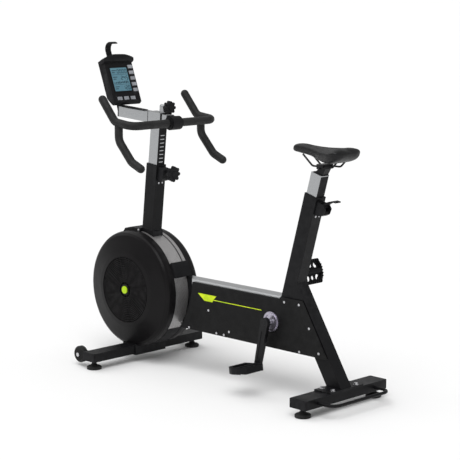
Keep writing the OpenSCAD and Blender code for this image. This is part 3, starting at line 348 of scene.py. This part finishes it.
# width of the rounded edges, in mm; a node that is neither here nor a button keeps its CAD edges
ROUND = {
    "front_stabilizer": 1.6, "rear_stabilizer": 1.6, "stabilizer_caps": 2.0, "seat_mast": 2.2,
    "rear_support": 2.2, "front_upright": 2.2, "main_beam": 1.5, "left_side_cover": 1.1,
    "right_side_cover": 1.1, "drum_blocks": 2.0, "drum_bulkhead": 0.5, "drum_cap": 1.0,
    "seat_post": 1.6, "handlebar_post": 1.6, "arm_sleeve": 1.4, "arm_bushings": 0.8,
    "console_arm": 1.5, "console_bracket": 1.2, "console_housing": 1.8, "device_hook": 0.8,
    "handlebar_clamp": 1.5, "upper_knob": 1.4, "lower_knob": 1.4, "seat_lever": 1.4,
    "lock_housings": 1.4, "post_glides": 0.8, "seat_clamp": 1.2, "frame_screws": 0.5,
    "crank_arm_left": 1.8, "crank_arm_right": 1.8, "crank_bearings": 0.9, "pedal_left": 0.8,
    "pedal_right": 0.8, "transport_wheel_left": 1.0, "transport_wheel_right": 1.0,
}
BUTTON_ROUND = 1.2
FINER = ("console_housing", "seat_mast")                      # three segments round each edge
UNCLEARED = ("console_housing", "pedal_left", "pedal_right")  # kept as cut: openings and notches
for name, obj in NODES.items():
    obj.data.materials.clear()
    obj.data.materials.append(M[SPECIAL.get(name, SLOT[name])])
    if name in ROUND or "button" in name:
        segments = 3 if name in FINER else 2
        soften(obj, ROUND.get(name, BUTTON_ROUND) * MM, segments, name not in UNCLEARED)


# ---------- mesh helpers ----------
def piece(name, verts, faces, matrix, body, material, slot, smooth=True):
    """A new visible piece, drawn in mm in the given frame, that rides on a body."""
    mesh = bpy.data.meshes.new(name)
    mesh.from_pydata([matrix @ (Vector(v) * MM) for v in verts], [], faces)
    bm = bmesh.new()
    bm.from_mesh(mesh)
    bmesh.ops.remove_doubles(bm, verts=bm.verts, dist=1e-7)
    bmesh.ops.recalc_face_normals(bm, faces=bm.faces)
    for f in bm.faces:
        f.smooth = smooth
    bm.to_mesh(mesh)
    bm.free()
    mesh.materials.append(material)
    obj = bpy.data.objects.new(name, mesh)
    bpy.context.collection.objects.link(obj)
    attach(obj, body)
    return obj


def rounded(w, h, r, n=5):
    """Outline of a rounded rectangle, centred, w by h."""
    pts = []
    for cx, cy, start in ((1, 1, 0), (-1, 1, 90), (-1, -1, 180), (1, -1, 270)):
        for i in range(n + 1):
            a = math.radians(start + 90 * i / n)
            corner = (cx * (w / 2 - r), cy * (h / 2 - r))
            pts.append((corner[0] + r * math.cos(a), corner[1] + r * math.sin(a)))
    return pts


def slab(outlines, depth, place, lip=0.25):
    """Verts and faces of flat shapes with a softened rim. place(u, v, n) gives the point in mm."""
    verts, faces = [], []
    for pts in outlines:
        cu = sum(p[0] for p in pts) / len(pts)
        cv = sum(p[1] for p in pts) / len(pts)
        rings = []
        for inset, n in ((0, 0), (0, depth - lip), (lip, depth)):
            ring = []
            for u, v in pts:
                d = max(1e-6, math.hypot(u - cu, v - cv))
                k = max(0.0, 1 - inset / d)
                ring.append(len(verts))
                verts.append(place(cu + (u - cu) * k, cv + (v - cv) * k, n))
            rings.append(ring)
        for a, b in zip(rings, rings[1:]):
            for i in range(len(pts)):
                j = (i + 1) % len(pts)
                faces.append((a[i], a[j], b[j], b[i]))
        faces.append(tuple(reversed(rings[0])))
        faces.append(tuple(rings[-1]))
    return verts, faces


def shifted(outline, u, v):
    """The outline moved by (u, v)."""
    return [(p[0] + u, p[1] + v) for p in outline]


def bar(w, h, r, u, v, n=5):
    """Outline of a rounded rectangle round (u, v)."""
    return shifted(rounded(w, h, r, n), u, v)


def smooth_between(table, x):
    """Cubic through (x, value) pairs that doesn't overshoot them."""
    if x <= table[0][0]:
        return table[0][1]
    if x >= table[-1][0]:
        return table[-1][1]
    k = next(i for i in range(len(table) - 1) if table[i][0] <= x <= table[i + 1][0])

    def slope(i):
        if i <= 0 or i >= len(table) - 1:
            j = max(0, min(len(table) - 2, i))
            return (table[j + 1][1] - table[j][1]) / (table[j + 1][0] - table[j][0])
        a = (table[i][1] - table[i - 1][1]) / (table[i][0] - table[i - 1][0])
        b = (table[i + 1][1] - table[i][1]) / (table[i + 1][0] - table[i][0])
        return 0.0 if a * b <= 0 else 2 * a * b / (a + b)

    (x0, y0), (x1, y1) = table[k], table[k + 1]
    w = x1 - x0
    t = (x - x0) / w
    return ((2 * t**3 - 3 * t**2 + 1) * y0 + (t**3 - 2 * t**2 + t) * w * slope(k)
            + (-2 * t**3 + 3 * t**2) * y1 + (t**3 - t**2) * w * slope(k + 1))


# ---------- saddle ----------
# half width, top and underside along the saddle, as (x, value) in mm from nose to tail
SADDLE_HALF = (
    (355.8, 5), (358, 9), (365, 14), (380, 19), (430, 24), (480, 34),
    (530, 55), (570, 69), (595, 72), (608, 65), (614, 52), (617, 36),
)
SADDLE_TOP = (
    (355.8, 908), (358, 915), (365, 922), (380, 926.5), (400, 928), (460, 922),
    (520, 917), (560, 918), (595, 922), (608, 920), (614, 914), (617, 906),
)
SADDLE_LOW = (
    (355.8, 901), (358, 899), (380, 896), (440, 888), (500, 870),
    (540, 863), (565, 863), (590, 869), (608, 880), (617, 892),
)
NOSE_STATIONS = [355.8, 356.4, 357.6, 359.4, 362, 366]
MIDDLE_STATIONS = [372 + 7.5 * i for i in range(31)]
TAIL_STATIONS = [602, 606, 609.5, 612.5, 615, 616.5, 617]
STATIONS = NOSE_STATIONS + MIDDLE_STATIONS + TAIL_STATIONS
AROUND = 56           # points round each section
REMESH_SIZE = 0.0042  # voxel of the stuffed cover, in metres
SWELL_CAP = 0.0025    # furthest that the cover may swell, in metres
SWELL_FRAMES = 20
WELT_R = 0.9


def evaluated(obj):
    """The object with its modifiers, at the current frame."""
    return obj.evaluated_get(bpy.context.evaluated_depsgraph_get())


def swell(pad):
    """Inflates the stuffed cover as cloth with its underside held, and keeps the result as a mesh."""
    even = pad.modifiers.new("even", "REMESH")
    even.mode = "VOXEL"
    even.voxel_size = REMESH_SIZE
    mesh = bpy.data.meshes.new_from_object(evaluated(pad))
    pad.data = mesh
    pad.modifiers.clear()
    mesh.materials.clear()
    mesh.materials.append(M["saddle"])
    start = [v.co.copy() for v in mesh.vertices]
    held = pad.vertex_groups.new(name="held")
    held.add([v.index for v in mesh.vertices if v.normal.z < -0.3], 1.0, "REPLACE")
    cloth = pad.modifiers.new("cloth", "CLOTH")
    cloth.settings.quality = 6
    cloth.settings.use_pressure = True
    cloth.settings.uniform_pressure_force = 4.0
    cloth.settings.vertex_group_mass = "held"
    cloth.settings.effector_weights.gravity = 0.0
    for step in range(1, SWELL_FRAMES + 1):
        bpy.context.scene.frame_set(step)
    swollen = [v.co.copy() for v in evaluated(pad).data.vertices]
    pad.modifiers.clear()
    bpy.context.scene.frame_set(1)
    for v, a, b in zip(mesh.vertices, start, swollen):
        v.co = a + (b - a) * min(1.0, SWELL_CAP / max((b - a).length, 1e-9))
    for face in mesh.polygons:
        face.use_smooth = True


def section(x):
    """Half width, top, underside, how far the tail has widened (0 to 1) and height of the rim."""
    half, top, low = (smooth_between(t, x) for t in (SADDLE_HALF, SADDLE_TOP, SADDLE_LOW))
    wide = min(1.0, max(0.0, (x - 430) / 110))
    return half, top, low, wide, top - (top - low) * (0.40 - 0.12 * wide)


def cover_point(x, k):
    """Point k round the section at x: a padded top with a groove, and a hollowed underside."""
    half, top, low, wide, rim = section(x)
    a = 2 * math.pi * k / AROUND
    c, s = math.cos(a), math.sin(a)
    y = half * math.copysign(abs(c) ** (0.78 if s > 0 else 0.62), c)
    if s <= 0:
        hollow = 7.5 * wide * math.exp(-((y / (0.7 * half)) ** 4))
        return (x, y, rim - (rim - low) * abs(s) ** 0.9 + hollow)
    groove = math.exp(-((y / 8.5) ** 2)) * math.exp(-(((x - 520) / 72) ** 4))
    cheeks = math.exp(-(((abs(y) - 0.52 * half) / (0.3 * half + 4)) ** 2)) * wide
    return (x, y, rim + (top - rim) * s ** (0.82 - 0.1 * wide) + 1.6 * cheeks - 3.4 * groove)


def saddle_cover():
    """The lofted cover, swollen by the cloth simulation."""
    verts = [cover_point(x, k) for x in STATIONS for k in range(AROUND)]
    faces = []
    for a in range(0, len(verts) - AROUND, AROUND):
        for k in range(AROUND):
            j = (k + 1) % AROUND
            faces.append((a + k, a + j, a + AROUND + j, a + AROUND + k))
    faces.append(tuple(range(AROUND)))
    faces.append(tuple(reversed(range(len(verts) - AROUND, len(verts)))))
    pad = piece("saddle_cover", verts, faces, WORLD, "saddle", M["saddle"], "saddle_skin")
    swell(pad)
    sub = pad.modifiers.new("round", "SUBSURF")
    sub.levels = sub.render_levels = 1
    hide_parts("saddle_pad")
    return pad


def saddle():
    pad = saddle_cover()
    mesh = pad.data
    skin = BVHTree.FromPolygons([v.co for v in mesh.vertices], [f.vertices for f in mesh.polygons])
    # welts between the top of the cover and its skirt
    steps = [x for x in STATIONS if 362 <= x <= 612]
    for side, tag, order in ((-1, "left", steps), (1, "right", reversed(steps))):
        line = []
        for x in order:
            half, _, _, _, rim = section(x)
            seam = Vector((x, side * half, rim - 3.0)) * MM
            line.append(skin.find_nearest(seam)[0] / MM)
        v, f = tube(line, lambda s: WELT_R, 8)
        piece("saddle_welt_" + tag, v, f, WORLD, "saddle", M["saddle"], "saddle_skin")


# ---------- tubes ----------
def tube(points, radius, sides):
    """Verts and faces of a closed tube along points (mm); radius(s) takes the length from its start."""
    verts, faces = [], []
    last = len(points) - 1
    t = [(points[min(i + 1, last)] - points[max(i - 1, 0)]).normalized() for i in range(last + 1)]
    side = t[0].orthogonal().normalized()
    run = 0.0
    for i, p in enumerate(points):
        if i:
            run += (p - points[i - 1]).length
        side = (side - t[i] * side.dot(t[i])).normalized()
        up = t[i].cross(side)
        for k in range(sides):
            a = 2 * math.pi * k / sides
            verts.append(tuple(p + (side * math.cos(a) + up * math.sin(a)) * radius(run)))
    for a in range(0, last * sides, sides):
        for k in range(sides):
            j = (k + 1) % sides
            faces.append((a + k, a + j, a + sides + j, a + sides + k))
    faces.append(tuple(reversed(range(sides))))
    faces.append(tuple(range(last * sides, (last + 1) * sides)))
    return verts, faces


def route(start, along, steps):
    """Points of a bent bar: steps are (length, bend radius, bend degrees, axis of the bend)."""
    pitch = 0.9
    p = Vector(start)
    d = Vector(along).normalized()
    pts = [p.copy()]
    for length, radius, angle, axis in steps:
        n = max(1, round(length / pitch))
        for _ in range(n):
            p = p + d * (length / n)
            pts.append(p.copy())
        if angle:
            axis = Vector(axis)
            n = max(2, round(math.radians(angle) * radius / pitch))
            centre = p + axis.cross(d) * radius
            for i in range(1, n + 1):
                q = Matrix.Rotation(math.radians(angle) * i / n, 3, axis)
                pts.append(centre + q @ (p - centre))
            d = Matrix.Rotation(math.radians(angle), 3, axis) @ d
            p = pts[-1].copy()
    return pts


# ---------- handlebar grips, in mm ----------
GRIP_R = 15.85
RIB_PITCH, RIB_DEPTH = 3.6, 0.22
BAR_X, BAR_Z = -274.504, 958.048      # middle of the crossbar
BAR_CLAMP, BAR_HALF = 34, 180         # where the grip starts and where the crossbar bends forward
CORNER_R = 35
DROP_X, DROP_Z = -351.004, 966.748    # where the drop leaves the forward run
DROP_START = 8                        # the drop's grip starts this far below
BEND_UP = (0, 1, 0)                   # axis that turns the forward run upwards
BEND_BACK = (0, -1, 0)                # axis that turns the drop towards the rider


def ribbed(total):
    """Radius of a grip: fine moulded ribs, rounded plug at the far end."""
    def radius(s):
        left = total - s
        r = GRIP_R + RIB_DEPTH * math.cos(2 * math.pi * s / RIB_PITCH)
        if left < GRIP_R:
            r = math.sqrt(max(0.0, GRIP_R**2 - (GRIP_R - left) ** 2))
        return max(0.4, r)
    return radius


def grip(name, points):
    """A ribbed grip along the points."""
    total = sum((b - a).length for a, b in zip(points, points[1:]))
    v, f = tube(points, ribbed(total), 28)
    piece(name, v, f, WORLD, "handlebar_arm", M["grip_foam"], "grip_foam")


def handlebar():
    lean = math.radians(UPRIGHT_LEAN)
    up_axis = Vector((math.sin(lean), 0, math.cos(lean)))
    for side, tag in ((-1, "left"), (1, "right")):
        corner = (BAR_HALF - BAR_CLAMP, CORNER_R, 90, up_axis * side)
        forward = (47.3, 40, 42.5, BEND_UP)
        prong = (93.4 + GRIP_R, 0, 0, None)
        grip("grip_prong_" + tag,
             route((BAR_X, side * BAR_CLAMP, BAR_Z), (0, side, 0), (corner, forward, prong)))
        upper = (49.2 - DROP_START, 45, 43.2, BEND_BACK)
        lower = (77.9, 45, 24.4, BEND_BACK)
        end = (45.5 + GRIP_R, 0, 0, None)
        grip("grip_drop_" + tag,
             route((DROP_X, side * (BAR_HALF + CORNER_R), DROP_Z - DROP_START), (0, 0, -1),
                   (upper, lower, end)))


# ---------- trim ----------
STRIP_W, STRIP_T = 40, 0.16
MARK_PITCH, MARK_W, MARK_H = 15, 20, 3.2
FRONT_POST_BACK, SEAT_POST_BACK = 24.4, 24.0    # where the strips start, on the posts' rear faces
COVER_FACE = -34                                # outer face of the left cover


def trim():
    """Dark strips and height marks on the posts and the plain stripe on the left cover."""
    def on_front_post(u, v, n):
        return (FRONT_POST_BACK + n, u, v)

    def on_strip(u, v, n):
        return on_front_post(u, v, STRIP_T - 0.02 + n)

    def on_seat_post(u, v, n):
        return (SEAT_POST_BACK + n, u, v)

    def on_cover(u, v, n):
        return (u, COVER_FACE - n, v)

    strip = slab([bar(STRIP_W, 258, 2, 0, 32)], STRIP_T, on_front_post, 0.05)
    piece("front_post_strip", *strip, UPRIGHT, "handlebar_column", M["black_plastic"],
          "black_plastic", False)
    ladder = [bar(MARK_W, MARK_H, 0.8, 0, 14 + MARK_PITCH * i) for i in range(-7, 8)]
    marks = slab(ladder, 0.08, on_strip, 0.03)
    piece("front_post_marks", *marks, UPRIGHT, "handlebar_column", M["front_post"],
          "beam_aluminium", False)
    seat = slab([bar(STRIP_W, 280, 2, 0, -60)], STRIP_T, on_seat_post, 0.05)
    piece("seat_post_strip", *seat, MAST, "seat_column", M["black_plastic"], "black_plastic", False)

    block = [(-76, 294), (-112, 320), (-10, 320), (-24, 306.5), (-32, 294)]
    line = [(-24, 304.4), (226, 304.4), (226, 301.6), (-26, 301.6)]
    film = slab([block, line], 0.35, on_cover, 0.1)
    piece("cover_stripe", *film, WORLD, "floor_frame", M["lime"], "accent_plastic", False)


# ---------- display, in mm of the console's frame ----------
FIGURE_W, FIGURE_H, FIGURE_T = 8.0, 15.0, 2.5
FIGURE_PITCH = 13
SEGMENTS = {0: "abcdef", 1: "bc", 2: "abged", 4: "fgbc", 5: "afgcd"}
ROWS = ((122, (0, 0, 0, 0)), (95, (2, 4, 5)), (55, (1, 2, 0)))   # height of a row and its figures
WINDOW_U, WINDOW_V = -7, 89                                      # middle of the window
GLASS = -0.55                                                    # just in front of the glass


def digit(value, u, v):
    """Seven-segment outlines of one figure."""
    w, h, t = FIGURE_W, FIGURE_H, FIGURE_T
    bars = {
        "a": (0, h / 2, w, t), "g": (0, 0, w, t), "d": (0, -h / 2, w, t),
        "f": (-w / 2, h / 4, t, h / 2), "b": (w / 2, h / 4, t, h / 2),
        "e": (-w / 2, -h / 4, t, h / 2), "c": (w / 2, -h / 4, t, h / 2),
    }
    outlines = []
    for key, (du, dv, wide, tall) in bars.items():
        if key in SEGMENTS[value]:
            outlines.append(bar(max(wide - t * 0.6, t), max(tall - t * 0.6, t), t * 0.3, u + du, v + dv, 2))
    return outlines


def figures():
    """Outlines of the display's rows of figures with their labels, a bar chart and two lines."""
    marks = []
    for height, row in ROWS:
        for i, figure in enumerate(row):
            marks += digit(figure, 27 - FIGURE_PITCH * (len(row) - 1 - i), height)
        marks.append(bar(22, 3.0, 0.8, -33, height + 4, 2))
        marks.append(bar(15, 3.0, 0.8, -36.5, height - 4, 2))
    for i in range(9):
        marks.append(bar(5.0, 4 + 1.0 * (i % 4) + 0.6 * i, 0.5, -42 + 8.6 * i, 75 + i * 0.3, 2))
    for height in (109, 68):
        marks.append(bar(80, 1.2, 0.3, WINDOW_U, height, 2))
    return marks


def screen():
    """Figures and bars of the display, and the window's frame."""
    v, f = slab(figures(), 0.2, lambda u, v, n: (GLASS + n, u, v), 0.08)
    piece("display_figures", v, f, CONSOLE, "console", M["ink"], "screen", False)
    outer, inner = rounded(95, 106, 4), rounded(86.6, 97, 2)
    verts, faces = [], []
    for ring, height in ((outer, 0.0), (outer, 1.1), (inner, 1.1), (inner, -0.5)):
        verts += [(height, u + WINDOW_U, w + WINDOW_V) for u, w in ring]
    n = len(outer)
    for a in range(0, 3 * n, n):
        for i in range(n):
            j = (i + 1) % n
            faces.append((a + i, a + j, a + n + j, a + n + i))
    bezel = piece("display_bezel", verts, faces, CONSOLE, "console", M["drum_plastic"],
                  "black_plastic", False)
    edge = bezel.modifiers.new("edge", "BEVEL")
    edge.width = 0.0003
    edge.segments = 2


# ---------- floor, light, camera ----------
FLOOR_HALF = 160    # metres, so that its edge lies above the top of the camera's view
SUNS = (("key_sun", (0.9, -1.3, 2.6), 1.55, 50), ("fill_sun", (-1.6, -0.3, 2.0), 0.65, 60))
SEEN, SHED = 1.0, 0.42    # strength of the background to the camera, and as light on the bike


def studio_floor():
    corners = [(-1, -1), (1, -1), (1, 1), (-1, 1)]
    mesh = bpy.data.meshes.new("studio_floor")
    mesh.from_pydata([(x * FLOOR_HALF, y * FLOOR_HALF, 0) for x, y in corners], [], [(0, 1, 2, 3)])
    floor = bpy.data.objects.new("studio_floor", mesh)
    bpy.context.collection.objects.link(floor)
    s = Shade("studio_floor_white", 0.8, spec=0.2)
    s.colour(s.mix(s.remap(s.noise(0.8, 3.0), 0.3, 0.7), (0.895, 0.895, 0.895), (0.90, 0.90, 0.90)))
    mesh.materials.append(s.done())


def studio_light():
    """A white background that is brighter to the camera than the light it gives, and two soft suns."""
    world = bpy.data.worlds.new("studio_world")
    bpy.context.scene.world = world
    world.use_nodes = True
    tree = world.node_tree
    back = tree.nodes["Background"]
    back.inputs["Color"].default_value = (1.0, 1.0, 1.0, 1.0)
    seen = tree.nodes.new("ShaderNodeLightPath")
    level = tree.nodes.new("ShaderNodeMapRange")
    level.inputs["To Min"].default_value = SHED
    level.inputs["To Max"].default_value = SEEN
    tree.links.new(seen.outputs["Is Camera Ray"], level.inputs["Value"])
    tree.links.new(level.outputs[0], back.inputs["Strength"])
    for name, place, strength, spread in SUNS:
        lamp = bpy.data.lights.new(name, "SUN")
        lamp.energy = strength
        lamp.angle = math.radians(spread)
        obj = bpy.data.objects.new(name, lamp)
        obj.rotation_euler = (-Vector(place)).to_track_quat("-Z", "Y").to_euler()
        bpy.context.collection.objects.link(obj)


CAMERA_AT = (4.0537, -3.9991, 1.4902)
CAMERA_RIGHT = Vector((0.70514, 0.70907, -0.00236)).normalized()
CAMERA_AHEAD = Vector((-0.70028, 0.69587, -0.15926)).normalized()


def camera():
    cam = bpy.data.cameras.new("camera")
    cam.sensor_width = 36.0
    cam.lens = 119.93478
    cam.clip_end = 500
    obj = bpy.data.objects.new("camera", cam)
    bpy.context.collection.objects.link(obj)
    over = CAMERA_RIGHT.cross(CAMERA_AHEAD)
    turn = Matrix((CAMERA_RIGHT, over, -CAMERA_AHEAD)).transposed().to_4x4()
    obj.matrix_world = Matrix.Translation(CAMERA_AT) @ turn
    bpy.context.scene.camera = obj
    bpy.context.scene.view_settings.view_transform = "Standard"
    bpy.context.scene.view_settings.exposure = 0.22


camera()
saddle()
handlebar()
trim()
screen()
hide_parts("handlebar_grips")
studio_floor()
studio_light()
